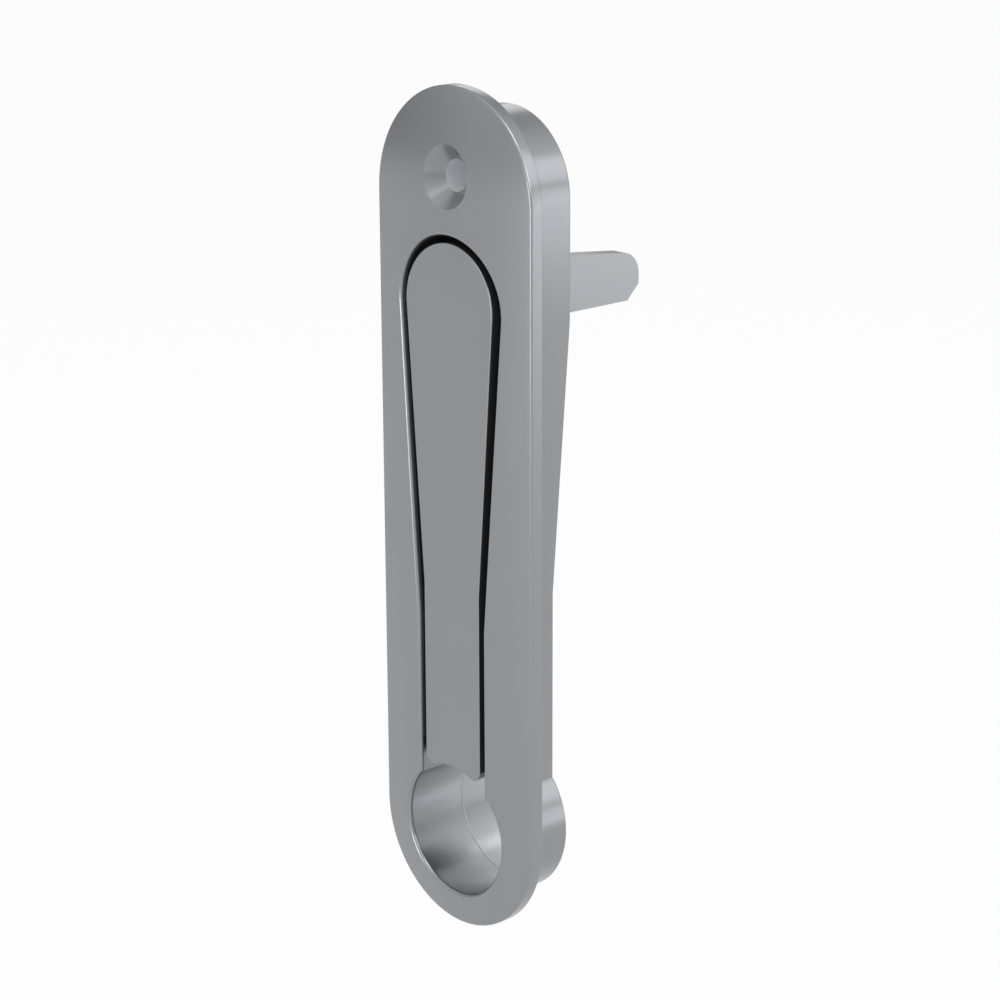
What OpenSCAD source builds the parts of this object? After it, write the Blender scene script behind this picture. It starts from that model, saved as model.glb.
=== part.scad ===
// Flush pull handle for a sliding window sash.
// A crowned oblong plate with a cast tub behind it. A flip-out lever lies flush
// in the plate and turns on a cross pin at its head. A finger in the round cup
// pulls the lever's foot out, and the flat tongue behind its head swings down
// and works the lock bar inside the sash.
// X is across the plate, Y points into the sash, Z is up.
// The origin is on the axis of the upper fixing hole, in the plane of the plate's
// back face, which lies on the sash.

/* [Front plate] */
// Height of the plate
plate_h = 150; // [140:1:165]
// Width of the plate
plate_w = 38.2; // [37:0.2:42]
// Thickness of the plate at its rim
plate_rim = 2.5; // [2:0.1:3.5]
// Rise of the crowned face above the rim
plate_crown = 1.9; // [1.4:0.1:2.2]
// Rounding of the rim's front edge
rim_round = 0.7; // [0.3:0.1:1]

/* [Lever] */
// Radius of the lever's round head
lever_head_r = 10.8; // [10:0.1:11.2]
// Width of the lever's parallel neck
lever_neck_w = 14.1; // [13:0.1:14.6]
// Distance from the pivot down to the parallel neck
lever_taper = 50; // [40:1:56]
// Thickness of the lever
lever_t = 3.3; // [3:0.1:3.4]
// How far the lever's face lies below the top of the crown
lever_sink = 0.65; // [0.4:0.05:0.8]
// Opening angle of the lever
swing = 30; // [20:1:32]

/* [Recess] */
// Gap beside the lever's head
head_gap = 1.6; // [1.4:0.1:1.8]
// Gap beside the lever's neck
neck_gap = 1.2; // [0.8:0.1:1.3]
// How far the recess is set below the lever's head, which narrows the top gap
recess_drop = 0.3; // [0:0.05:0.35]

/* [Finger cup] */
// Radius of the finger cup
cup_r = 12.05; // [11:0.05:13]
// Distance from the plate's lower end up to the cup's centre
cup_edge = 18; // [17:0.5:20]
// Depth of the cup's floor behind the plate's back face
cup_depth = 9.2; // [8:0.1:9.6]
// Wall round the cup
cup_wall = 2.1; // [1.6:0.05:2.6]
// Rounding of the cup's front edge
cup_round = 0.6; // [0.4:0.1:1.2]

/* [Tub] */
// Depth of the tub behind the plate's back face
tub_d = 10.7; // [10.2:0.1:12]
// Radius of the tub's round top, also half its width there
tub_r = 14.7; // [14.6:0.1:15.6]
// Distance from the plate's upper end down to the centre of the tub's round top
tub_edge = 18.9; // [18:0.1:20]
// Width of the tub at its neck
tub_neck_w = 21.3; // [20.5:0.1:23]

/* [Pivot] */
// Distance from the plate's upper end down to the pivot
pivot_edge = 37; // [35:0.5:40]
// Depth of the pivot behind the lever's face
pivot_sink = 4.35; // [4.2:0.05:4.5]
// Diameter of the pivot pin
pin_d = 3; // [2.6:0.1:3.2]

/* [Drive tongue] */
// Height of the tongue
tongue_h = 9.8; // [8:0.1:10]
// Thickness of the tongue
tongue_t = 3; // [2.5:0.1:3.4]
// Reach of the tongue's tip behind the plate's back face
tongue_reach = 40.3; // [36:0.1:50]

/* [Fixing holes] */
// Diameter of the fixing holes
fix_d = 5.5; // [4.5:0.1:6]
// Diameter of their countersinks
fix_sink_d = 10.6; // [9.6:0.1:11.2]
// Distance from the plate's upper end down to the upper hole
fix_edge = 15; // [14:0.5:16]
// Distance from the cup's centre up to the lower hole
fix_rise = 31; // [30:0.5:33]

/* [Rear cover] */
// Thickness of the sheet steel cover
cover_t = 1.3; // [1:0.1:1.6]
// Wall left round the cover's rebate
cover_land = 1.1; // [0.9:0.1:1.3]
// Thread diameter of the cover screws
cover_screw_d = 2.5; // [2:0.1:3]

/* [Return springs] */
// Wire diameter
spring_wire = 0.8; // [0.6:0.05:0.9]
// Length of each spring leg
spring_leg = 8; // [6:0.5:9]

/* [Hidden] */
$fn = 96;

// Clearances
press_gap = 0.02;
run_gap = 0.05;
seat_gap = 0.05;
side_gap = 0.1;
open_gap = 0.4;
cut = 1;

// Heights worked out from the plate's ends
top_z = fix_edge;
foot_z = fix_edge - plate_h;
mid_z = (top_z + foot_z) / 2;
straight_half = (plate_h - plate_w) / 2;
pivot_z = top_z - pivot_edge;
cup_z = foot_z + cup_edge;
fix_low_z = cup_z + fix_rise;
tub_top_z = top_z - tub_edge;

// Depths of the crown's top, the lever and the pivot
crown_y = -plate_rim - plate_crown;
lever_y = crown_y + lever_sink;
lever_back = lever_y + lever_t;
pivot_y = lever_y + pivot_sink;

// Recess and tub outlines
recess_r = lever_head_r + head_gap;
recess_z = pivot_z - recess_drop;
recess_half = lever_neck_w / 2 + neck_gap;
neck_z = pivot_z - lever_taper;
recess_neck_z = neck_z - 6;
tub_half = tub_neck_w / 2;
tub_taper_top = pivot_z - 2.5;
tub_taper_end = neck_z - 1.5;

// Cross block that carries the lower hole, the pads and the cover's lower end
block_below = 7;
block_above = 15;
block_low = fix_low_z - block_below;
block_top = fix_low_z + block_above;
block_y = lever_back + 1.2;

// Cored pockets beside the boss of the upper fixing hole
core_wall = 2;
core_y = 1;
boss_r = fix_d / 2 + 2.4;

// Lever knuckle, from the middle outwards
slot_half = tongue_t / 2 + side_gap;
cheek_half = slot_half + 2.4;
ear_in = cheek_half + 3.8;
ear_out = ear_in + 2.4;
ear_r = 3.8;
bush_r = 2.5;
spacer_r = 2.4;
spacer_end = sqrt(pow(recess_r, 2) - pow(spacer_r + recess_drop, 2)) - side_gap;
pin_r = pin_d / 2;
seat_x = tub_r - cover_land;
pin_half = seat_x - side_gap;
lock_r = 1.25;
lock_y = 3.4;
lock_drop = 6.6;
lock_z = pivot_z - lock_drop;
lock_lobe = 2.5;
eye_r = pin_r + 1.4;

// Rear cover
cover_y = tub_d - cover_t;
cover_low = block_top - 7.5;
cover_top = -fix_d / 2 - 2.6;
tab_w = pin_d - 2 * side_gap;
screw_r = cover_screw_d / 2;
screw_head_r = screw_r * 1.85;
screw_len = 5;
drive_depth = 0.7;
low_screw = [5.5, block_top - 4];
top_screw = [9.8, cover_top - 3.6];

// Return springs
coil_r = pin_r + 0.3 + spring_wire / 2;
coil_out = coil_r + spring_wire / 2;
coil_pitch = spring_wire + 0.05;
leg_lean = 35;
coil_from = 180;
coil_to = 1080 - leg_lean;
coil_len = (coil_to - coil_from) / 360 * coil_pitch;
coil_x = (cheek_half + ear_in - coil_len) / 2;

// Rest pads
pad_r = 2.2;
pad_x = 4.5;
pad_z = block_top - 3.5;
pad_sink = 0.8;

// Slab lying across the depth, from y0 to y1, with its outline in X and Z
module slab(y0, y1) {
  translate([0, y1, 0]) rotate([90, 0, 0]) linear_extrude(y1 - y0) children();
}

// Slab lying across the width, from x0 to x1, with its outline in Y and Z
module cross_slab(x0, x1) {
  translate([x0, 0, 0]) rotate([90, 0, 90]) linear_extrude(x1 - x0) children();
}

// Round bar or bore along Y
module rod_y(x, z, r, y0, y1) {
  translate([x, y1, z]) rotate([90, 0, 0]) cylinder(r = r, h = y1 - y0);
}

// Round bar or bore along X
module rod_x(y, z, r, x0, x1) {
  translate([x0, y, z]) rotate([0, 90, 0]) cylinder(r = r, h = x1 - x0);
}

// Countersunk hole along Y whose cone starts at y0
module sunk_hole(x, z, r, sink_r, y0, y1) {
  rod_y(x, z, r, y0 - cut, y1 + cut);
  translate([x, y0, z]) rotate([-90, 0, 0]) cylinder(r1 = sink_r, r2 = r, h = sink_r - r);
  rod_y(x, z, sink_r, y0 - 3, y0);
}

// Both sides of the part, for pieces or cuts that come in mirrored pairs
module both_sides() {
  children();
  mirror([1, 0, 0]) children();
}

// Points of an arc
function arc_points(c, r, a0, a1, n) =
  [for (i = [0:n]) let (a = a0 + (a1 - a0) * i / n) [c[0] + r * cos(a), c[1] + r * sin(a)]];

// Point where a line from [half, -drop] touches a circle of radius r at the origin
function touch_point(r, drop, half) =
  let (t = atan2(half, drop) + acos(r / norm([half, drop]))) [r * sin(t), -r * cos(t)];

// Outline with a round head that tapers into a parallel neck
module bottle(r, head_z, half, taper_z, foot_z) {
  t = touch_point(r, head_z - taper_z, half);
  translate([0, head_z]) circle(r = r);
  polygon([[t[0], head_z + t[1]], [half, taper_z], [half, foot_z],
    [-half, foot_z], [-half, taper_z], [-t[0], head_z + t[1]]]);
}

// Two discs joined by their outer tangents
module link_outline(p, r1, q, r2) {
  d = q - p;
  a = atan2(d[1], d[0]);
  b = acos((r1 - r2) / norm(d));
  translate(p) circle(r = r1);
  translate(q) circle(r = r2);
  polygon([p + r1 * [cos(a + b), sin(a + b)], q + r2 * [cos(a + b), sin(a + b)],
    q + r2 * [cos(a - b), sin(a - b)], p + r1 * [cos(a - b), sin(a - b)]]);
}

// Outline of the tub, drawn in by an inset
module tub_outline(inset = 0) {
  w = tub_r - inset;
  n = tub_half - inset;
  translate([0, tub_top_z]) circle(r = w);
  polygon([[w, tub_top_z], [w, tub_taper_top], [n, tub_taper_end], [n, cup_z],
    [-n, cup_z], [-n, tub_taper_end], [-w, tub_taper_top], [-w, tub_top_z]]);
  translate([0, cup_z]) circle(r = cup_r + cup_wall - inset);
}

// Half section of the plate from its middle to its rim, with the crown as an arc
module plate_section() {
  half = plate_w / 2;
  crown_r = (half * half + plate_crown * plate_crown) / (2 * plate_crown);
  c = [0, plate_rim + plate_crown - crown_r];
  round_c = [half - rim_round, c[1] + sqrt(pow(crown_r - rim_round, 2) - pow(half - rim_round, 2))];
  lean = atan2(round_c[1] - c[1], round_c[0]);
  polygon(concat([[0, 0], [half, 0]], arc_points(round_c, rim_round, 0, lean, 6),
    arc_points(c, crown_r, lean, 90, 14)));
}

// Crowned oblong plate: an extruded middle between two half turns
module plate_solid() {
  translate([0, 0, mid_z]) {
    translate([0, 0, -straight_half]) linear_extrude(2 * straight_half) {
      mirror([0, 1]) plate_section();
      rotate(180) plate_section();
    }
    for (turn = [0, 180]) rotate([0, turn, 0]) translate([0, 0, straight_half])
      rotate([90, 0, 0]) rotate_extrude(angle = 180) plate_section();
  }
}

// Height of the crown above the plate's back, at a distance from its middle line
function crown_height(x) = plate_rim + plate_crown * (1 - pow(x / (plate_w / 2), 2));

// Ring that rounds the cup's edge in a face at the given height. Its flank leans out,
// so that the crown, which rises towards the lever, runs into the rounding.
module cup_rounding(face) {
  reach = cup_r + cup_round - seat_gap;
  translate([0, -face, cup_z]) rotate([90, 0, 0]) rotate_extrude()
    polygon(concat([[reach + 3 * cut, cut], [cup_r - cut, cut], [cup_r - cut, -cup_round]],
      arc_points([reach, -cup_round], cup_round, 180, 90, 8)));
}

module housing() {
  color([0.56, 0.57, 0.58]) difference() {
    union() {
      plate_solid();
      slab(-cut, tub_d) tub_outline();
    }
    // Recess for the lever, down to the face of the cross block
    slab(crown_y - cut, block_y) bottle(recess_r, recess_z, recess_half, recess_neck_z, cup_z);
    // Mechanism bay above the block, open to the back
    slab(-cut, tub_d + cut) intersection() {
      bottle(recess_r, recess_z, recess_half, recess_neck_z, cup_z);
      translate([-tub_r, block_top]) square([2 * tub_r, plate_h]);
    }
    // Room for the fingertip behind the lever's foot
    slab(-cut, cup_depth) translate([-recess_half, cup_z])
      square([2 * recess_half, block_low - cup_z]);
    // Finger cup
    rod_y(0, cup_z, cup_r, crown_y - cut, cup_depth);
    cup_rounding(crown_height(cup_r));
    // Fixing holes
    sunk_hole(0, 0, fix_d / 2, fix_sink_d / 2, crown_y + side_gap, tub_d);
    sunk_hole(0, fix_low_z, fix_d / 2, fix_sink_d / 2, block_y, tub_d);
    // Cored pockets beside the upper screw boss, with a rib above it
    slab(core_y, tub_d + cut) difference() {
      intersection() {
        tub_outline(core_wall);
        translate([-tub_r, cover_top + core_wall]) square([2 * tub_r, plate_w]);
      }
      circle(r = boss_r);
      translate([-core_wall / 2, 0]) square([core_wall, tub_r]);
    }
    // Rebate for the rear cover
    slab(cover_y, tub_d + cut) cover_outline(0);
    // Pin seats, open to the back
    both_sides() pin_seat();
    // Threaded holes for the cover screws
    for (p = [low_screw, top_screw]) both_sides()
      rod_y(p[0], p[1], screw_r + seat_gap, cover_y - screw_len, tub_d);
    // Pockets for the rest pads
    both_sides() rod_y(pad_x, pad_z, pad_r + seat_gap, block_y - cut, block_y + pad_sink);
  }
}

// Slot with a round bottom that takes one end of the pivot pin and the cover's tab
module pin_seat() {
  r = pin_r + seat_gap;
  rod_x(pivot_y, pivot_z, r, recess_r - cut, seat_x);
  cross_slab(recess_r - cut, seat_x) translate([pivot_y, pivot_z - r]) square([tub_d, 2 * r]);
}

// Outline of the rear cover, drawn in by a clearance
module cover_outline(gap) {
  intersection() {
    tub_outline(cover_land + gap);
    translate([-tub_r, cover_low + gap]) square([2 * tub_r, cover_top - cover_low - 2 * gap]);
  }
}

// Lowest point that the tongue's lower edge reaches at the cover's back
function tongue_low() =
  let (s = (cover_y + cover_t - pivot_y + tongue_h / 2 * sin(swing)) / cos(swing))
    pivot_z - s * sin(swing) - tongue_h / 2 * cos(swing);

module rear_cover() {
  slot_x = tongue_t / 2 + open_gap;
  slot_low = tongue_low() - open_gap;
  slot_top = pivot_z + tongue_h / 2 + open_gap;
  tab_x = recess_r + side_gap;
  tab_t = seat_x - recess_r - 2 * side_gap;
  color([0.72, 0.73, 0.74]) difference() {
    union() {
      slab(cover_y, tub_d) cover_outline(side_gap);
      both_sides() translate([tab_x, pivot_y + pin_r + seat_gap, pivot_z - tab_w / 2])
        cube([tab_t, cover_y - pivot_y - pin_r, tab_w]);
    }
    // Slot that the tongue swings in
    slab(cover_y - cut, tub_d + cut) translate([-slot_x, slot_low])
      square([2 * slot_x, slot_top - slot_low]);
    for (p = [low_screw, top_screw]) both_sides() {
      rod_y(p[0], p[1], screw_r + side_gap, cover_y - cut, tub_d + cut);
      translate([p[0], tub_d, p[1]]) rotate([90, 0, 0])
        cylinder(r1 = screw_head_r + side_gap, r2 = screw_r + side_gap, h = screw_head_r - screw_r);
    }
  }
}

module cover_screws() {
  color([0.66, 0.67, 0.68]) for (p = [low_screw, top_screw]) both_sides() difference() {
    union() {
      rod_y(p[0], p[1], screw_r, tub_d - screw_len, tub_d);
      translate([p[0], tub_d, p[1]]) rotate([90, 0, 0])
        cylinder(r1 = screw_head_r, r2 = screw_r, h = screw_head_r - screw_r);
    }
    // Cross recess
    for (turn = [0, 90]) translate([p[0], tub_d, p[1]]) rotate([0, turn, 0])
      cube([screw_r * 1.8, 2 * drive_depth, screw_r * 0.45], center = true);
  }
}

module pivot_pin() {
  color([0.75, 0.76, 0.77]) rod_x(pivot_y, pivot_z, pin_r, -pin_half, pin_half);
}

// Sleeve that fills the gap between the lever's ear and the tub's wall
module pivot_spacer() {
  color([0.12, 0.12, 0.13]) difference() {
    rod_x(pivot_y, pivot_z, spacer_r, ear_out + 2 * side_gap, spacer_end);
    rod_x(pivot_y, pivot_z, pin_r + run_gap, ear_out - cut, recess_r + cut);
  }
}

module pivot_spacer_left() mirror([1, 0, 0]) pivot_spacer();

module pivot_spacer_right() pivot_spacer();

module rest_pads() {
  color([0.1, 0.1, 0.1]) both_sides()
    rod_y(pad_x, pad_z, pad_r, lever_back + run_gap, block_y + pad_sink);
}

module lever_outline() {
  bottle(lever_head_r, pivot_z, lever_neck_w / 2, neck_z, cup_z);
}

module lever() {
  color([0.58, 0.59, 0.6]) difference() {
    union() {
      slab(lever_y, lever_back) lever_outline();
      both_sides() {
        // Outer ear that holds the bush
        rod_x(pivot_y, pivot_z, ear_r, ear_in, ear_out);
        // Cheek beside the tongue
        cross_slab(slot_half, cheek_half) {
          link_outline([pivot_y, pivot_z], ear_r, [lock_y, lock_z], lock_lobe);
          translate([lever_y + cut, lock_z - lock_lobe])
            square([lock_y - lever_y - cut, lock_lobe + lock_drop]);
        }
      }
    }
    // Foot of the lever, cut to the round of the finger cup
    rod_y(0, cup_z, cup_r, crown_y - cut, tub_d);
    cup_rounding(-lever_y);
    // Pin hole through the cheeks and bush bores in the ears
    rod_x(pivot_y, pivot_z, pin_r + side_gap, -ear_in - cut, ear_in + cut);
    both_sides() rod_x(pivot_y, pivot_z, bush_r + press_gap, ear_in - cut, ear_out + cut);
    rod_x(lock_y, lock_z, lock_r + press_gap, -cheek_half - cut, cheek_half + cut);
    // Pocket for the tongue's eye
    translate([-slot_half, pivot_y - eye_r - side_gap, pivot_z - eye_r - side_gap])
      cube([2 * slot_half, tub_d, 2 * (eye_r + side_gap)]);
    // Pockets for the spring coils, and grooves for their front legs
    both_sides() translate([cheek_half, pivot_y - coil_out - run_gap, pivot_z - coil_out - side_gap])
      cube([ear_in - cheek_half, tub_d, 2 * (coil_out + side_gap)]);
    both_sides() translate([coil_x - spring_wire, pivot_y - coil_out - run_gap, pivot_z])
      cube([2 * spring_wire, tub_d, spring_leg + side_gap]);
  }
}

// Plain bush pressed into the ear
module pivot_bush() {
  color([0.85, 0.83, 0.76]) difference() {
    rod_x(pivot_y, pivot_z, bush_r, ear_in, ear_out);
    rod_x(pivot_y, pivot_z, pin_r + run_gap, ear_in - cut, ear_out + cut);
  }
}

module pivot_bush_left() mirror([1, 0, 0]) pivot_bush();

module pivot_bush_right() pivot_bush();

module drive_tongue() {
  low = pivot_z - tongue_h / 2;
  top = pivot_z + tongue_h / 2;
  tip_r = 4.2;
  tip_c = [tongue_reach - tip_r, pivot_z - 0.35];
  corner = 2.8;
  // The upper edge falls a little towards the tip, as the tangent of its round
  shoulder_y = tongue_reach - 13.8;
  rise = [tip_c[0] - shoulder_y, top - tip_c[1]];
  fall = atan2(rise[1], rise[0]) - asin(tip_r / norm(rise));
  lobe = lock_lobe - side_gap;
  color([0.6, 0.61, 0.62]) difference() {
    cross_slab(-tongue_t / 2, tongue_t / 2) {
      translate([pivot_y, pivot_z]) circle(r = eye_r);
      translate(tip_c) circle(r = tip_r);
      polygon([[pivot_y, low], [tongue_reach - corner, low], [tongue_reach, low + corner], tip_c,
        tip_c + tip_r * [sin(fall), cos(fall)], [shoulder_y, top], [pivot_y, top]]);
      // Root lobe that takes the lock pin
      translate([lock_y, lock_z]) circle(r = lobe);
      translate([lock_y - lobe, lock_z]) square([2 * lobe, lock_drop]);
    }
    rod_x(pivot_y, pivot_z, pin_r + side_gap, -tongue_t, tongue_t);
    rod_x(lock_y, lock_z, lock_r + press_gap, -tongue_t, tongue_t);
  }
}

module tongue_lock_pin() {
  color([0.75, 0.76, 0.77]) rod_x(lock_y, lock_z, lock_r, -cheek_half, cheek_half);
}

// Centre line of a hairpin spring: front leg, coil round the pin, rear leg
function coil_point(a) =
  [coil_x + (a - coil_from) / 360 * coil_pitch, pivot_y + coil_r * cos(a), pivot_z + coil_r * sin(a)];
spring_path = concat(
  [coil_point(coil_from) + [0, 0, spring_leg]],
  [for (a = [coil_from:22.5:coil_to]) coil_point(a)],
  [coil_point(coil_to)],
  [coil_point(coil_to) + (cover_y - spring_wire / 2 - run_gap - coil_point(coil_to)[1])
    * [0, 1, 1 / tan(leg_lean)]]);

// Round wire along a path, as one closed tube
module wire(path, d, sides = 10) {
  n = len(path);
  rings = [for (i = [0:n - 1])
    let (t = path[min(i + 1, n - 1)] - path[max(i - 1, 0)],
      u = cross(t, [1, 0, 0]) / norm(cross(t, [1, 0, 0])),
      v = cross(t, u) / norm(cross(t, u)))
    [for (k = [0:sides - 1]) path[i] + d / 2 * (u * cos(k * 360 / sides) + v * sin(k * 360 / sides))]];
  points = [for (r = rings) each r];
  skin = [for (i = [0:n - 2]) for (k = [0:sides - 1])
    let (a = i * sides + k, b = i * sides + (k + 1) % sides) each [[a, b, b + sides], [a, b + sides, a + sides]]];
  polyhedron(points, concat(skin, [[for (k = [sides - 1:-1:0]) k]],
    [[for (k = [0:sides - 1]) (n - 1) * sides + k]]));
}

module return_spring() {
  color([0.7, 0.7, 0.72]) wire(spring_path, spring_wire);
}

module return_spring_left() mirror([1, 0, 0]) return_spring();

module return_spring_right() return_spring();

housing();
rear_cover();
cover_screws();
pivot_pin();
pivot_spacer_left();
pivot_spacer_right();
rest_pads();
lever();
pivot_bush_left();
pivot_bush_right();
drive_tongue();
tongue_lock_pin();
return_spring_left();
return_spring_right();
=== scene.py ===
import math
import bpy
from mathutils import Matrix, Vector


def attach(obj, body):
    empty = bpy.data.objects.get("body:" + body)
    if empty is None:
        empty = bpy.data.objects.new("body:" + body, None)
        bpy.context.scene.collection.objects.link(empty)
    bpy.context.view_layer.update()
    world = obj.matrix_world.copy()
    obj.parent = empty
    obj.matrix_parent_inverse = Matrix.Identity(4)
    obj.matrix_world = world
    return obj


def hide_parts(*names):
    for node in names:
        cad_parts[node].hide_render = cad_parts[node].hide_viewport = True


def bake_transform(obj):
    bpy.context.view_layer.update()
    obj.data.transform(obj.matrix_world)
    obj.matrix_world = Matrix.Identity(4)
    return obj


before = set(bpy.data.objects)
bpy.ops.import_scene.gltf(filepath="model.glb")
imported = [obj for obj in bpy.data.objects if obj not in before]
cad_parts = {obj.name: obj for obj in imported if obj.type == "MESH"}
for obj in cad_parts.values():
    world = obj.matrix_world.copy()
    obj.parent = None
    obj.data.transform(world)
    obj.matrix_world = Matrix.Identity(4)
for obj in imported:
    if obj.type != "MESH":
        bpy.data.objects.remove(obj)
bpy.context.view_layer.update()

# Camera and room: the handle is seen from its right, a little above, on a plain white ground.
# The floor lies well below it, and soft round lamps stand about it. The sky is dimmer to the left.
view_turn = math.radians(48.297)
view_drop = math.radians(16.783)
view_roll = math.radians(-0.5226)
view_distance = 0.47638
view_target = Vector((0, -0.0025, -0.060))
look = Vector((-math.sin(view_turn) * math.cos(view_drop), math.cos(view_turn) * math.cos(view_drop),
               -math.sin(view_drop)))
level_right = Vector((math.cos(view_turn), math.sin(view_turn), 0))
level_up = level_right.cross(look)
right = math.cos(view_roll) * level_right + math.sin(view_roll) * level_up
up = math.cos(view_roll) * level_up - math.sin(view_roll) * level_right
bpy.ops.object.camera_add()
camera = bpy.context.object
camera.matrix_world = Matrix.Translation(view_target - look * view_distance) @ Matrix(
    (right, up, -look)).transposed().to_4x4()
camera.data.sensor_width = 36
camera.data.lens = 99.54
camera.data.shift_x = 0.0443
camera.data.shift_y = 0.0219
camera.data.clip_start = 0.01
bpy.context.scene.camera = camera

floor_z = -0.30
floor_size = 6
floor_white = 0.93
bpy.ops.mesh.primitive_plane_add(size=floor_size, location=(0, 0, floor_z))
floor = bpy.context.object
floor.name = "floor"
floor_paint = bpy.data.materials.new("floor_paint")
floor_paint.use_nodes = True
nodes = floor_paint.node_tree.nodes
links = floor_paint.node_tree.links
nodes.clear()
output = nodes.new("ShaderNodeOutputMaterial")
pale = nodes.new("ShaderNodeBsdfDiffuse")
pale.inputs["Color"].default_value = (0.68, 0.68, 0.69, 1)
glow = nodes.new("ShaderNodeEmission")
glow.inputs["Color"].default_value = (1, 1, 1, 1)
glow.inputs["Strength"].default_value = 1.0
path = nodes.new("ShaderNodeLightPath")
mirrored = nodes.new("ShaderNodeMath")
mirrored.operation = "MAXIMUM"
either = nodes.new("ShaderNodeMath")
either.operation = "MAXIMUM"
seen = nodes.new("ShaderNodeMath")
seen.operation = "MULTIPLY"
seen.inputs[1].default_value = floor_white
blend = nodes.new("ShaderNodeMixShader")
links.new(path.outputs["Is Glossy Ray"], mirrored.inputs[0])
links.new(path.outputs["Is Transmission Ray"], mirrored.inputs[1])
links.new(path.outputs["Is Camera Ray"], either.inputs[0])
links.new(mirrored.outputs["Value"], either.inputs[1])
links.new(either.outputs["Value"], seen.inputs[0])
links.new(seen.outputs["Value"], blend.inputs["Fac"])
links.new(pale.outputs["BSDF"], blend.inputs[1])
links.new(glow.outputs["Emission"], blend.inputs[2])
links.new(blend.outputs["Shader"], output.inputs["Surface"])
floor.data.materials.append(floor_paint)

sky_levels = [(0.0, 0.75), (0.35, 0.75), (0.46, 0.55), (0.5, 0.6),
              (0.56, 0.78), (0.65, 0.85), (0.8, 1.1), (1.0, 0.9)]
world = bpy.data.worlds.new("studio")
bpy.context.scene.world = world
world.use_nodes = True
nodes = world.node_tree.nodes
links = world.node_tree.links
nodes.clear()
output = nodes.new("ShaderNodeOutputWorld")
sky = nodes.new("ShaderNodeBackground")
white = nodes.new("ShaderNodeBackground")
white.inputs["Color"].default_value = (1, 1, 1, 1)
where = nodes.new("ShaderNodeTexCoord")
split = nodes.new("ShaderNodeSeparateXYZ")
lift = nodes.new("ShaderNodeMapRange")
lift.inputs["From Min"].default_value = -1
lift.inputs["From Max"].default_value = 1
ramp = nodes.new("ShaderNodeValToRGB")
while len(ramp.color_ramp.elements) < len(sky_levels):
    ramp.color_ramp.elements.new(0.5)
for element, (place, level) in zip(ramp.color_ramp.elements, sky_levels):
    element.position = place
    element.color = (level, level, level, 1)
to_left = nodes.new("ShaderNodeVectorMath")
to_left.operation = "DOT_PRODUCT"
to_left.inputs[1].default_value = (-0.8, 0.6, 0)
shade = nodes.new("ShaderNodeMapRange")
shade.inputs["From Min"].default_value = 0.1
shade.inputs["From Max"].default_value = 0.6
shade.inputs["To Min"].default_value = 1.05
shade.inputs["To Max"].default_value = 0.4
path = nodes.new("ShaderNodeLightPath")
blend = nodes.new("ShaderNodeMixShader")
links.new(where.outputs["Generated"], to_left.inputs[0])
links.new(to_left.outputs["Value"], shade.inputs["Value"])
links.new(shade.outputs["Result"], sky.inputs["Strength"])
links.new(where.outputs["Generated"], split.inputs["Vector"])
links.new(split.outputs["Z"], lift.inputs["Value"])
links.new(lift.outputs["Result"], ramp.inputs["Fac"])
links.new(ramp.outputs["Color"], sky.inputs["Color"])
links.new(path.outputs["Is Camera Ray"], blend.inputs["Fac"])
links.new(sky.outputs["Background"], blend.inputs[1])
links.new(white.outputs["Background"], blend.inputs[2])
links.new(blend.outputs["Shader"], output.inputs["Surface"])

lamp_distance = 1.3
lamp_size = 0.6


def lamp(name, heading, height, power):
    heading = math.radians(heading)
    height = math.radians(height)
    away = Vector((math.cos(height) * math.cos(heading), math.cos(height) * math.sin(heading),
                   math.sin(height)))
    bpy.ops.object.light_add(type="AREA", location=view_target + lamp_distance * away)
    light = bpy.context.object
    light.name = name
    light.data.shape = "DISK"
    light.data.size = lamp_size
    light.data.energy = power
    light.rotation_euler = away.to_track_quat("Z", "Y").to_euler()


lamp("lamp_front_low", 268, -6, 6.4)
lamp("lamp_right", 0, 25, 6.4)
lamp("lamp_right_high", 0, 60, 4.5)
lamp("lamp_corner_low", 45, -5, 1.4)
lamp("lamp_corner", 45, 25, 1.3)
lamp("lamp_behind", 135, 25, 1.0)
lamp("lamp_front_high", 305, 60, 2.2)


# Housing: plate and tub are one zinc die casting, lacquered satin grey. Its face is crowned,
# and the recess walls carry painted shade in black, so the gap round the lever reads as a dark line.
def only(piece):
    bpy.ops.object.select_all(action="DESELECT")
    piece.select_set(True)
    bpy.context.view_layer.objects.active = piece


def start_outline(name, x, y, z):
    bpy.ops.object.select_all(action="DESELECT")
    bpy.ops.mesh.primitive_plane_add(size=0.001)
    piece = bpy.context.object
    piece.name = name
    piece.data.name = name
    bpy.ops.object.mode_set(mode="EDIT")
    bpy.ops.mesh.select_mode(type="VERT")
    bpy.ops.mesh.select_all(action="SELECT")
    bpy.ops.mesh.merge(type="CENTER")
    bpy.ops.transform.translate(value=(x, y, z))
    return piece


def straight(dx, dz):
    bpy.ops.mesh.extrude_vertices_move(TRANSFORM_OT_translate={"value": (dx, 0, dz)})


def turn(x, y, z, degrees, steps):
    bpy.ops.mesh.spin(steps=steps, angle=math.radians(abs(degrees)), center=(x, y, z),
                      axis=(0, math.copysign(1, degrees), 0))


def finish_slab(depth):
    bpy.ops.mesh.select_all(action="SELECT")
    bpy.ops.mesh.remove_doubles(threshold=1e-6)
    bpy.ops.mesh.edge_face_add()
    bpy.ops.mesh.extrude_region_move(TRANSFORM_OT_translate={"value": (0, depth, 0)})
    bpy.ops.mesh.select_all(action="SELECT")
    bpy.ops.mesh.normals_make_consistent(inside=False)
    bpy.ops.object.mode_set(mode="OBJECT")


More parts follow.
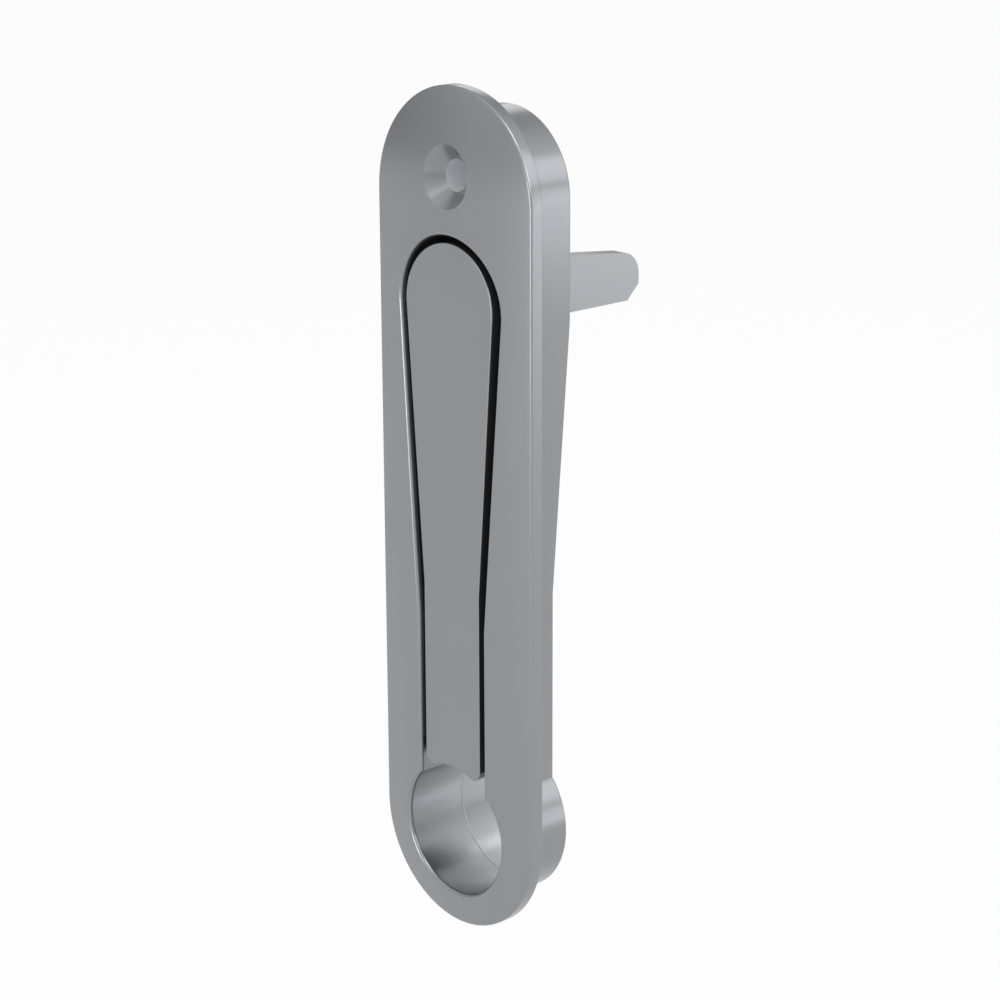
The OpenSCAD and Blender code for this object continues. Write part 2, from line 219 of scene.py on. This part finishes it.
def bar(radius, start, end, sides=96):
    start = Vector(start)
    end = Vector(end)
    bpy.ops.object.select_all(action="DESELECT")
    bpy.ops.mesh.primitive_cylinder_add(vertices=sides, radius=radius, depth=(end - start).length,
                                        location=(start + end) / 2,
                                        rotation=(end - start).to_track_quat("Z", "Y").to_euler())
    piece = bpy.context.object
    bpy.ops.object.transform_apply(location=True, rotation=True, scale=True)
    return piece


def block(low, high):
    size = [b - a for a, b in zip(low, high)]
    middle = [(a + b) / 2 for a, b in zip(low, high)]
    bpy.ops.object.select_all(action="DESELECT")
    bpy.ops.mesh.primitive_cube_add(size=1, location=middle)
    piece = bpy.context.object
    piece.scale = size
    bpy.ops.object.transform_apply(location=True, rotation=True, scale=True)
    return piece


def combine(piece, tool, way):
    only(piece)
    bpy.ops.object.modifier_add(type="BOOLEAN")
    change = piece.modifiers[-1]
    change.operation = way
    change.solver = "EXACT"
    change.object = tool
    bpy.ops.object.modifier_apply(modifier=change.name)
    bpy.data.objects.remove(tool)


def round_edges(piece, wanted, width, steps):
    only(piece)
    bpy.ops.object.mode_set(mode="EDIT")
    bpy.ops.mesh.select_mode(type="EDGE")
    bpy.ops.mesh.select_all(action="DESELECT")
    bpy.ops.object.mode_set(mode="OBJECT")
    places = piece.data.vertices
    for edge in piece.data.edges:
        edge.select = wanted(places[edge.vertices[0]].co, places[edge.vertices[1]].co)
    bpy.ops.object.mode_set(mode="EDIT")
    bpy.ops.mesh.bevel(offset=width, segments=steps, profile=0.5, affect="EDGES", clamp_overlap=False)
    bpy.ops.object.mode_set(mode="OBJECT")


def smooth(piece, degrees=40):
    only(piece)
    bpy.ops.object.shade_smooth_by_angle(angle=math.radians(degrees))
    bpy.ops.object.modifier_add(type="WEIGHTED_NORMAL")
    piece.modifiers[-1].keep_sharp = True
    bpy.ops.object.modifier_apply(modifier=piece.modifiers[-1].name)


def start_bottle(name, radius, head_z, half, taper_z, front):
    drop = head_z - taper_z
    lean = math.atan2(half, drop) + math.acos(radius / math.hypot(half, drop))
    touch_x = radius * math.sin(lean)
    touch_z = head_z - radius * math.cos(lean)
    piece = start_outline(name, touch_x, front, touch_z)
    turn(0, front, head_z, 360 - 2 * math.degrees(lean), 96)
    straight(touch_x - half, taper_z - touch_z)
    return piece, touch_x, touch_z


plate_half = 0.0191
plate_rim = 0.0025
plate_crown = 0.0019
end_top = -0.0041
end_low = -0.1159
cup_z = -0.117
cup_r = 0.01205
cup_floor = 0.0092
recess_r = 0.0124
recess_z = -0.0223
recess_half = 0.00825
recess_neck = -0.078
recess_floor = 0.00075
tub_r = 0.0147
tub_z = -0.0039
tub_back = 0.0107
neck_half = 0.01065
taper_top = -0.0245
taper_end = -0.0735
boss_r = 0.01415
block_top = -0.071
block_low = -0.093
past = 0.002
front_round = 0.0003
back_round = 0.0002
tub_round = 0.0004
tiny = 0.00001
near = 0.0001

# Plate
housing = start_outline("housing_casting", plate_half, -plate_rim, end_top)
turn(0, -plate_rim, end_top, 180, 64)
straight(0, end_low - end_top)
turn(0, -plate_rim, end_low, 180, 64)
straight(0, end_top - end_low)
finish_slab(plate_rim)
round_edges(housing, lambda a, b: max(a.y, b.y) < tiny - plate_rim, front_round, 4)
round_edges(housing, lambda a, b: min(a.y, b.y) > -tiny, back_round, 2)

# Tub, with the round boss of the finger cup at its lower end
boss_turn = math.degrees(math.acos(neck_half / boss_r))
boss_top = cup_z + math.sqrt(boss_r ** 2 - neck_half ** 2)
tub_front = -0.001
tub = start_outline("tub", tub_r, tub_front, tub_z)
turn(0, tub_front, tub_z, 180, 64)
straight(0, taper_top - tub_z)
straight(tub_r - neck_half, taper_end - taper_top)
straight(0, boss_top - taper_end)
turn(0, tub_front, cup_z, 180 + 2 * boss_turn, 80)
straight(0, taper_end - boss_top)
straight(tub_r - neck_half, taper_top - taper_end)
straight(0, tub_z - taper_top)
finish_slab(tub_back - tub_front)
round_edges(tub, lambda a, b: min(a.y, b.y) > tub_back - tiny, tub_round, 4)
combine(housing, tub, "UNION")


def recess_cutter(name, foot_z, front, back):
    piece, touch_x, touch_z = start_bottle(name, recess_r, recess_z, recess_half, recess_neck, front)
    straight(0, foot_z - recess_neck)
    straight(2 * recess_half, 0)
    straight(0, recess_neck - foot_z)
    straight(touch_x - recess_half, touch_z - recess_neck)
    finish_slab(back - front)
    return piece


# Recess, finger room behind the lever's foot, finger cup, and the bay for the knuckle
combine(housing, recess_cutter("recess", cup_z, -plate_rim - past, recess_floor), "DIFFERENCE")
combine(housing, block((-recess_half, tub_front, cup_z), (recess_half, cup_floor, block_low)), "DIFFERENCE")
combine(housing, bar(cup_r, (0, -plate_rim - past, cup_z), (0, cup_floor, cup_z), 160), "DIFFERENCE")
bay = recess_cutter("bay", cup_z, 0.0002, tub_back + past)
combine(bay, block((-0.02, -0.01, cup_z - 0.01), (0.02, 0.03, block_top)), "DIFFERENCE")
combine(housing, bay, "DIFFERENCE")

# Countersunk holes for the two fixing screws
hole_r = 0.00275
sink_r = 0.00545
low_hole_z = -0.086
half_facet = 0.0327


def sunk_hole(z, front):
    combine(housing, bar(hole_r, (0, front - past, z), (0, tub_back + past, z)), "DIFFERENCE")
    tip_r = hole_r - 0.0002
    deep = sink_r - tip_r
    bpy.ops.object.select_all(action="DESELECT")
    bpy.ops.mesh.primitive_cone_add(vertices=96, radius1=sink_r + past, radius2=tip_r,
                                    depth=deep + past, location=(0, front + (deep - past) / 2, z),
                                    rotation=(-math.pi / 2, half_facet, 0))
    cone = bpy.context.object
    bpy.ops.object.transform_apply(location=True, rotation=True, scale=True)
    combine(housing, cone, "DIFFERENCE")


sunk_hole(0, -plate_rim)
sunk_hole(low_hole_z, recess_floor)

# Cored pockets beside the upper screw boss, with a rib above it
tub_wall = 0.002
boss_wall = 0.0024
rib_half = 0.001
core_low = -0.00335
core = bar(tub_r - tub_wall, (0, 0.001, tub_z), (0, tub_back + past, tub_z))
combine(core, block((-0.02, 0, -0.03), (0.02, 0.02, core_low)), "DIFFERENCE")
combine(core, bar(hole_r + boss_wall, (0, 0, 0), (0, 0.02, 0)), "DIFFERENCE")
combine(core, block((-rib_half, 0, 0), (rib_half, 0.02, 0.02)), "DIFFERENCE")
combine(housing, core, "DIFFERENCE")

# Rebate that the rear cover is let into
land = 0.0011
cover_front = 0.0094
cover_top = -0.00535
cover_low = -0.0785
rebate = start_outline("rebate", tub_r - land, cover_front, cover_top)
straight(2 * (land - tub_r), 0)
straight(0, taper_top - cover_top)
straight(tub_r - neck_half, taper_end - taper_top)
straight(0, cover_low - taper_end)
straight(2 * (neck_half - land), 0)
straight(0, taper_end - cover_low)
straight(tub_r - neck_half, taper_top - taper_end)
straight(0, cover_top - taper_top)
finish_slab(tub_back - cover_front + past)
combine(housing, rebate, "DIFFERENCE")

# Seats of the cross pin, holes of the cover screws, and pockets of the rest pads
pivot = Vector((0, 0.0006, -0.022))
seat_r = 0.00155
seat_half = 0.00153
seat_in = 0.0114
seat_out = 0.0136
cut_back = 0.0126
thread_r = 0.0013
thread_front = 0.0044
screw_places = [(0.0055, -0.075), (0.0098, -0.00895)]
pad_x = 0.0045
pad_z = -0.0745
pad_pocket_r = 0.00225
pad_pocket_back = 0.00155
for side in (-1, 1):
    xs = sorted((side * seat_in, side * seat_out))
    seat_ends = [(side * x, pivot.y, pivot.z) for x in (seat_in, seat_out)]
    combine(housing, bar(seat_r, *seat_ends), "DIFFERENCE")
    combine(housing, block((xs[0], pivot.y, pivot.z - seat_half), (xs[1], cut_back, pivot.z + seat_half)),
            "DIFFERENCE")
    for x, z in screw_places:
        thread_ends = [(side * x, y, z) for y in (thread_front, cut_back)]
        combine(housing, bar(thread_r, *thread_ends, 32), "DIFFERENCE")
    pocket_ends = [(side * pad_x, y, pad_z) for y in (0, pad_pocket_back)]
    combine(housing, bar(pad_pocket_r, *pocket_ends, 48), "DIFFERENCE")

# Roundings of the mouth of recess and cup, and of the cup's inner corner
mouth_round = 0.00075
corner_round = 0.0002
mouth_top = recess_z + recess_r + near
mouth_low = cup_z - cup_r - 0.00015
mouth_half = recess_r + 0.0002
round_edges(housing, lambda a, b: max(a.y, b.y) < tiny - plate_rim and max(abs(a.x), abs(b.x)) < mouth_half
            and min(a.z, b.z) > mouth_low and max(a.z, b.z) < mouth_top, mouth_round, 6)
round_edges(housing, lambda a, b: min(a.y, b.y) > cup_floor - tiny and max(a.y, b.y) < cup_floor + tiny
            and max(a.z, b.z) < block_low + tiny, corner_round, 2)

# The face is cut into a fine grid and then raised to the crown. The painted shade and the painted light of
# the cup end on cut lines.
painted_shade_depth = 0.0011
foot_end = cup_z + 0.0155
only(housing)
bpy.ops.object.mode_set(mode="EDIT")
bpy.ops.mesh.select_mode(type="FACE")
bpy.ops.mesh.select_all(action="SELECT")
bpy.ops.mesh.bisect(plane_co=(0, painted_shade_depth - plate_rim, 0), plane_no=(0, 1, 0))
bpy.ops.mesh.select_all(action="SELECT")
bpy.ops.mesh.bisect(plane_co=(0, 0, foot_end), plane_no=(0, 0, 1))
grid_x = 0.0012
grid_z = 0.0014
grid_back = -0.0017
cuts = [((grid_x * step, 0, 0), (1, 0, 0)) for step in range(-15, 16)]
cuts += [((0, 0, end_top + grid_z * step), (0, 0, 1)) for step in range(14)]
cuts += [((0, 0, end_low - grid_z * step), (0, 0, 1)) for step in range(14)]
for place, normal in cuts:
    bpy.ops.mesh.select_all(action="DESELECT")
    bpy.ops.object.mode_set(mode="OBJECT")
    for face in housing.data.polygons:
        face.select = max(housing.data.vertices[i].co.y for i in face.vertices) < grid_back
    bpy.ops.object.mode_set(mode="EDIT")
    bpy.ops.mesh.bisect(plane_co=place, plane_no=normal)
bpy.ops.object.mode_set(mode="OBJECT")


def crown(x, z):
    off = math.hypot(x, max(z - end_top, end_low - z, 0))
    return plate_crown * (1 - (off / plate_half) ** 2)


sink_back = 0.0003
for point in housing.data.vertices:
    in_sink = math.hypot(point.co.x, point.co.z) < sink_r + near and point.co.y < sink_back
    if point.co.y < painted_shade_depth - plate_rim + tiny or in_sink:
        point.co.y -= crown(point.co.x, point.co.z)
smooth(housing)
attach(housing, "housing")
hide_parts("housing")


def finish_nodes(name, colour, metal, roughness):
    finish = bpy.data.materials.new(name)
    finish.use_nodes = True
    shader = finish.node_tree.nodes["Principled BSDF"]
    shader.inputs["Base Color"].default_value = (*colour, 1)
    shader.inputs["Metallic"].default_value = metal
    shader.inputs["Roughness"].default_value = roughness
    return finish


grey_lacquer = finish_nodes("grey_lacquer", (0.243, 0.255, 0.267), 0.7, 0.25)
nodes = grey_lacquer.node_tree.nodes
links = grey_lacquer.node_tree.links
shader = nodes["Principled BSDF"]
where = nodes.new("ShaderNodeTexCoord")
peel = nodes.new("ShaderNodeTexNoise")
peel.inputs["Scale"].default_value = 900
peel.inputs["Detail"].default_value = 3
cloud = nodes.new("ShaderNodeTexNoise")
cloud.inputs["Scale"].default_value = 70
tone = nodes.new("ShaderNodeMix")
tone.data_type = "RGBA"
tone.inputs["A"].default_value = (0.238, 0.250, 0.262, 1)
tone.inputs["B"].default_value = (0.248, 0.260, 0.272, 1)
gloss = nodes.new("ShaderNodeMapRange")
gloss.inputs["To Min"].default_value = 0.21
gloss.inputs["To Max"].default_value = 0.28
bump = nodes.new("ShaderNodeBump")
bump.inputs["Strength"].default_value = 0.15
bump.inputs["Distance"].default_value = 0.00003
for noise in (peel, cloud):
    links.new(where.outputs["Object"], noise.inputs["Vector"])
links.new(cloud.outputs["Fac"], tone.inputs["Factor"])
links.new(tone.outputs["Result"], shader.inputs["Base Color"])
links.new(peel.outputs["Fac"], gloss.inputs["Value"])
links.new(gloss.outputs["Result"], shader.inputs["Roughness"])
links.new(peel.outputs["Fac"], bump.inputs["Height"])
links.new(bump.outputs["Normal"], shader.inputs["Normal"])

# Painted shade: black paint on the deep recess walls and the lever's sides, in place of the shade of the
# narrow gap.
painted_gap_shade = finish_nodes("painted_gap_shade", (0.006, 0.006, 0.007), 0, 0.8)

# The recess narrows below the point where its flank leaves the round of the head
head_end = recess_z - 0.0009
flank_x = 0.012365
flank_z = recess_z - 0.00093


def in_recess(place, margin):
    if place.z > head_end:
        return math.hypot(place.x, place.z - recess_z) < recess_r + margin
    if place.z > recess_neck:
        rise = (flank_x - recess_half) / (flank_z - recess_neck)
        return abs(place.x) < recess_half + rise * (place.z - recess_neck) + margin
    return abs(place.x) < recess_half + margin


# The finger cup and the screw bores get lighter copies of the lacquer: painted light, in place of the light
# that their depth shades off.
# Painted light: a much lighter, fully metallic copy of the lacquer for the finger cup and the room under the
# lever's foot.
cup_painted_light = grey_lacquer.copy()
cup_painted_light.name = "cup_grey_painted_light"
for node in cup_painted_light.node_tree.nodes:
    if node.type == "MIX":
        node.inputs["A"].default_value = (0.63, 0.642, 0.654, 1)
        node.inputs["B"].default_value = (0.66, 0.672, 0.684, 1)
    if node.type == "MAP_RANGE":
        node.inputs["To Min"].default_value = 0.22
        node.inputs["To Max"].default_value = 0.29
    if node.type == "BSDF_PRINCIPLED":
        node.inputs["Metallic"].default_value = 1
# Painted light: a still lighter, less metallic copy of the lacquer for the walls of the screw bores.
bore_painted_light = cup_painted_light.copy()
bore_painted_light.name = "bore_grey_painted_light"
for node in bore_painted_light.node_tree.nodes:
    if node.type == "MIX":
        node.inputs["A"].default_value = (0.73, 0.75, 0.77, 1)
        node.inputs["B"].default_value = (0.76, 0.78, 0.80, 1)
    if node.type == "BSDF_PRINCIPLED":
        node.inputs["Metallic"].default_value = 0.25
housing.data.materials.append(grey_lacquer)
housing.data.materials.append(painted_gap_shade)
housing.data.materials.append(cup_painted_light)
housing.data.materials.append(bore_painted_light)
for face in housing.data.polygons:
    place = face.center
    behind = place.y + plate_rim + crown(place.x, place.z)
    not_back = face.normal.y < 0.5
    in_cup = math.hypot(place.x, place.z - cup_z) < cup_r + near
    in_room = abs(place.x) < recess_half + near and cup_z < place.z < foot_end
    from_hole = min(math.hypot(place.x, place.z - z) for z in (0, low_hole_z))
    # Painted light on the walls of the screw bores.
    if from_hole < hole_r + 2 * near and abs(face.normal.y) < 0.3:
        face.material_index = 3
    # Painted light on the walls and floor of the finger cup and of the room under the lever's foot.
    elif behind > mouth_round - tiny and place.y < cup_floor + near and not_back and (in_cup or in_room):
        face.material_index = 2
    # Painted shade: the recess walls below a shallow depth, the recess floor and the bay get black paint in
    # place of the gap's shade.
    elif in_recess(place, 0.00006) and foot_end < place.z and behind > painted_shade_depth and not_back:
        if place.y < recess_floor + tiny or place.z > block_top:
            face.material_index = 1

# Lever: a flat zinc casting with a round head and a foot cut to the round of the finger cup.
# Ears and cheeks cast on its back carry it on the cross pin.
lever_front = -0.00375
lever_thick = 0.0033
lever_head = 0.0108
lever_half = 0.00705
lever_neck = -0.072
ear_in = 0.0078
ear_out = 0.0102
ear_r = 0.0038
cheek_in = 0.0016
cheek_out = 0.0040
corner_r = 0.0018
corner_x = lever_half - corner_r
corner_z = cup_z + math.sqrt((cup_r + corner_r) ** 2 - corner_x ** 2)
corner_lean = math.degrees(math.atan2(corner_x, corner_z - cup_z))
lever, touch_x, touch_z = start_bottle("lever_casting", lever_head, pivot.z, lever_half, lever_neck,
                                       lever_front)
straight(0, corner_z - lever_neck)
turn(-corner_x, lever_front, corner_z, 90 + corner_lean, 12)
turn(0, lever_front, cup_z, -2 * corner_lean, 24)
turn(corner_x, lever_front, corner_z, 90 + corner_lean, 12)
straight(0, lever_neck - corner_z)
straight(touch_x - lever_half, touch_z - lever_neck)
finish_slab(lever_thick)
edge_round = 0.00018
round_edges(lever, lambda a, b: max(a.y, b.y) < lever_front + tiny, edge_round, 3)
round_edges(lever, lambda a, b: min(a.y, b.y) > lever_front + lever_thick - tiny, 0.00015, 2)

# Knuckle behind the lever's head, cast in one with it: two cheeks hold the tongue, two ears hold
# the bushes, and the spring coils sit between them.
lock = Vector((0, 0.0034, -0.0286))
lobe_r = 0.0025
eye_front = -0.0024
eye_half = 0.003
coil_front = -0.00205
coil_half = 0.0027
leg_in = 0.00408
leg_out = 0.00568
leg_top = -0.0139
behind_all = 0.02
sliver = 0.00002
bush_bore = 0.00252
pin_bore = 0.0016
lock_bore = 0.00127
combine(lever, block((-cheek_in, eye_front, pivot.z - eye_half), (cheek_in, behind_all, pivot.z + eye_half)),
        "DIFFERENCE")
for side in (-1, 1):
    xs = sorted((side * cheek_out, side * ear_in))
    combine(lever, block((xs[0], coil_front, pivot.z - coil_half), (xs[1], behind_all, pivot.z + coil_half)),
            "DIFFERENCE")
    xs = sorted((side * leg_in, side * leg_out))
    combine(lever, block((xs[0], coil_front + tiny, pivot.z), (xs[1], behind_all, leg_top)), "DIFFERENCE")
for side in (-1, 1):
    ear = [Vector((side * x, pivot.y, pivot.z)) for x in (ear_in + sliver, ear_out)]
    combine(lever, bar(ear_r, *ear), "UNION")
    xs = [side * (cheek_in + sliver), side * (cheek_out - sliver)]
    cheek = bar(ear_r, (xs[0], pivot.y, pivot.z), (xs[1], pivot.y, pivot.z))
    lobe = bar(lobe_r, (xs[0], lock.y, lock.z), (xs[1], lock.y, lock.z))
    web = block((min(xs), lever_front + 0.001, lock.z - lobe_r), (max(xs), lock.y, pivot.z))
    only(cheek)
    lobe.select_set(True)
    web.select_set(True)
    bpy.ops.object.join()
    bpy.ops.object.mode_set(mode="EDIT")
    bpy.ops.mesh.select_all(action="SELECT")
    bpy.ops.mesh.convex_hull()
    bpy.ops.mesh.select_all(action="SELECT")
    bpy.ops.mesh.dissolve_limited(angle_limit=math.radians(0.5))
    bpy.ops.object.mode_set(mode="OBJECT")
    combine(lever, cheek, "UNION")
    bore = [Vector((side * x, pivot.y, pivot.z)) for x in (ear_in - 0.0001, ear_out + 0.00005)]
    combine(lever, bar(bush_bore, *bore), "DIFFERENCE")
combine(lever, bar(pin_bore, (-0.005, pivot.y, pivot.z), (0.005, pivot.y, pivot.z)), "DIFFERENCE")
combine(lever, bar(lock_bore, (-0.0045, lock.y, lock.z), (0.0045, lock.y, lock.z), 64), "DIFFERENCE")
smooth(lever)
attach(lever, "lever")
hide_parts("lever")
lever.data.materials.append(grey_lacquer)
lever.data.materials.append(painted_gap_shade)
# The lever's side walls carry painted shade in black, as the recess wall does, and so do the walls of the
# pockets in its back
for face in lever.data.polygons:
    behind = face.center.y - lever_front
    if edge_round + tiny < behind < lever_thick and abs(face.normal.y) < 0.8 and face.center.z > corner_z:
        face.material_index = 1


# Drive tongue: a flat cast bar with a round tip, lacquered as the handle is. Its eye sits on
# the cross pin and a lock pin holds it between the lever's cheeks. A short flat ends the round.
def ease_node(name, new_name, width, steps, added=None):
    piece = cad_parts[name].copy()
    piece.data = piece.data.copy()
    piece.name = new_name
    piece.data.name = new_name
    bpy.context.collection.objects.link(piece)
    piece.data.materials.clear()
    only(piece)
    bpy.ops.mesh.customdata_custom_splitnormals_clear()
    bpy.ops.object.mode_set(mode="EDIT")
    bpy.ops.mesh.select_mode(type="EDGE")
    bpy.ops.mesh.select_all(action="SELECT")
    bpy.ops.mesh.remove_doubles(threshold=1e-6)
    bpy.ops.object.mode_set(mode="OBJECT")
    if added:
        combine(piece, added, "UNION")
    bpy.ops.object.mode_set(mode="EDIT")
    bpy.ops.mesh.select_all(action="SELECT")
    bpy.ops.mesh.remove_doubles(threshold=1e-6)
    bpy.ops.mesh.dissolve_limited(angle_limit=math.radians(0.6))
    bpy.ops.mesh.select_all(action="DESELECT")
    bpy.ops.mesh.edges_select_sharp(sharpness=math.radians(35))
    bpy.ops.mesh.bevel(offset=width, segments=steps, profile=0.5, affect="EDGES", clamp_overlap=True)
    bpy.ops.object.mode_set(mode="OBJECT")
    smooth(piece, 30)
    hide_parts(name)
    return piece


tip_land = block((-0.0015, 0.0375, -0.0241), (0.0015, 0.0403, -0.02235))
tongue = ease_node("drive_tongue", "tongue_bar", 0.0002, 3, tip_land)
tongue.data.materials.append(grey_lacquer)
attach(tongue, "lever")


# Cross pin and lock pin: ground steel, with a small rounding on each end. The lever turns on the
# cross pin, and the lock pin keeps the tongue square to the lever.
def textured(name, light, dark, metal, smoothest, roughest, scale, stretch, height):
    finish = finish_nodes(name, light, metal, roughest)
    nodes = finish.node_tree.nodes
    links = finish.node_tree.links
    shader = nodes["Principled BSDF"]
    where = nodes.new("ShaderNodeTexCoord")
    draw = nodes.new("ShaderNodeMapping")
    draw.inputs["Scale"].default_value = stretch
    grain = nodes.new("ShaderNodeTexNoise")
    grain.inputs["Scale"].default_value = scale
    grain.inputs["Detail"].default_value = 4
    tone = nodes.new("ShaderNodeMix")
    tone.data_type = "RGBA"
    tone.inputs["A"].default_value = (*dark, 1)
    tone.inputs["B"].default_value = (*light, 1)
    gloss = nodes.new("ShaderNodeMapRange")
    gloss.inputs["To Min"].default_value = smoothest
    gloss.inputs["To Max"].default_value = roughest
    bump = nodes.new("ShaderNodeBump")
    bump.inputs["Strength"].default_value = 0.3
    bump.inputs["Distance"].default_value = height
    links.new(where.outputs["Object"], draw.inputs["Vector"])
    links.new(draw.outputs["Vector"], grain.inputs["Vector"])
    links.new(grain.outputs["Fac"], tone.inputs["Factor"])
    links.new(tone.outputs["Result"], shader.inputs["Base Color"])
    links.new(grain.outputs["Fac"], gloss.inputs["Value"])
    links.new(gloss.outputs["Result"], shader.inputs["Roughness"])
    links.new(grain.outputs["Fac"], bump.inputs["Height"])
    links.new(bump.outputs["Normal"], shader.inputs["Normal"])
    return finish


bright_steel = textured("bright_steel", (0.62, 0.62, 0.63), (0.52, 0.52, 0.53), 1, 0.18, 0.32,
                        1500, (6, 0.5, 0.5), 0.00001)
pins = (("pivot_pin", "cross_pin", "housing"), ("tongue_lock_pin", "lock_pin", "lever"))
for name, new_name, body in pins:
    pin = ease_node(name, new_name, 0.0002, 2)
    pin.data.materials.append(bright_steel)
    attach(pin, body)

# Bushes: turned from white acetal and pressed into the lever's ears. They run on the cross pin
# and swing with the lever.
white_acetal = textured("white_acetal", (0.74, 0.72, 0.66), (0.68, 0.66, 0.60), 0, 0.38, 0.5,
                        600, (8, 1, 1), 0.00001)
for side in ("left", "right"):
    bush = ease_node("pivot_bush_" + side, "bush_" + side, 0.00015, 2)
    bush.data.materials.append(white_acetal)
    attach(bush, "lever")

# Spacers: moulded black nylon sleeves on the cross pin, between the ears and the tub's walls.
# They keep the lever in the middle of the recess.
black_nylon = textured("black_nylon", (0.035, 0.035, 0.037), (0.025, 0.025, 0.027), 0, 0.5, 0.65,
                       2500, (1, 1, 1), 0.00002)
for side in ("left", "right"):
    sleeve = ease_node("pivot_spacer_" + side, "sleeve_" + side, 0.00015, 2)
    sleeve.data.materials.append(black_nylon)
    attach(sleeve, "housing")

# Rest pads: two plugs of black rubber pushed into pockets in the cross block. The closed
# lever lies on them.
black_rubber = textured("black_rubber", (0.03, 0.03, 0.03), (0.02, 0.02, 0.02), 0, 0.7, 0.9,
                        3500, (1, 1, 1), 0.00003)
pads = ease_node("rest_pads", "lever_pads", 0.0003, 3)
pads.data.materials.append(black_rubber)
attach(pads, "housing")

# Return springs: hairpin springs of drawn steel wire wound round the cross pin. The front leg
# lies under the lever, and the rear leg bears on the cover.
wire_d = 0.0008
coil_r = 0.0022
coil_x = 0.00488
coil_pitch = 0.00085
coil_start = 180
coil_end = 1035
front_leg = 0.008
rear_y = 0.00895
rear_lean = 35
for side, name in ((-1, "left"), (1, "right")):
    route = []
    for turned in range(coil_start, coil_end + 1, 15):
        a = math.radians(turned)
        route.append(Vector((side * (coil_x + (turned - coil_start) / 360 * coil_pitch),
                             pivot.y + coil_r * math.cos(a), pivot.z + coil_r * math.sin(a))))
    rise = rear_y - route[-1].y
    route.append(route[-1] + Vector((0, rise, rise / math.tan(math.radians(rear_lean)))))
    route.insert(0, route[0] + Vector((0, 0, front_leg)))
    line = bpy.data.curves.new("spring_" + name, "CURVE")
    line.dimensions = "3D"
    line.bevel_depth = wire_d / 2
    line.bevel_resolution = 4
    line.use_fill_caps = True
    run = line.splines.new("POLY")
    run.points.add(len(route) - 1)
    for point, place in zip(run.points, route):
        point.co = (*place, 1)
    spring = bpy.data.objects.new("spring_" + name, line)
    bpy.context.collection.objects.link(spring)
    only(spring)
    bpy.ops.object.convert(target="MESH")
    spring = bpy.context.object
    bpy.ops.object.mode_set(mode="EDIT")
    bpy.ops.mesh.select_all(action="SELECT")
    bpy.ops.mesh.remove_doubles(threshold=1e-6)
    bpy.ops.mesh.normals_make_consistent(inside=False)
    bpy.ops.object.mode_set(mode="OBJECT")
    smooth(spring, 50)
    spring.data.materials.clear()
    spring.data.materials.append(bright_steel)
    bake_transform(spring)
    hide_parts("return_spring_" + name)

# Rear cover and its screws: zinc plated sheet steel let into the tub's back, held by four
# small countersunk screws with cross recesses.
zinc_plate = textured("zinc_plated_steel", (0.60, 0.61, 0.63), (0.50, 0.51, 0.52), 1, 0.3, 0.45,
                      350, (1, 1, 5), 0.00002)
cover = ease_node("rear_cover", "cover_sheet", 0.00015, 2)
cover.data.materials.append(zinc_plate)
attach(cover, "housing")
screws = ease_node("cover_screws", "cover_screw_set", 0.00008, 2)
screws.data.materials.append(zinc_plate)
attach(screws, "housing")

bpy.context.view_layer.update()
view = bpy.context.scene.view_settings
view.view_transform = "Standard"
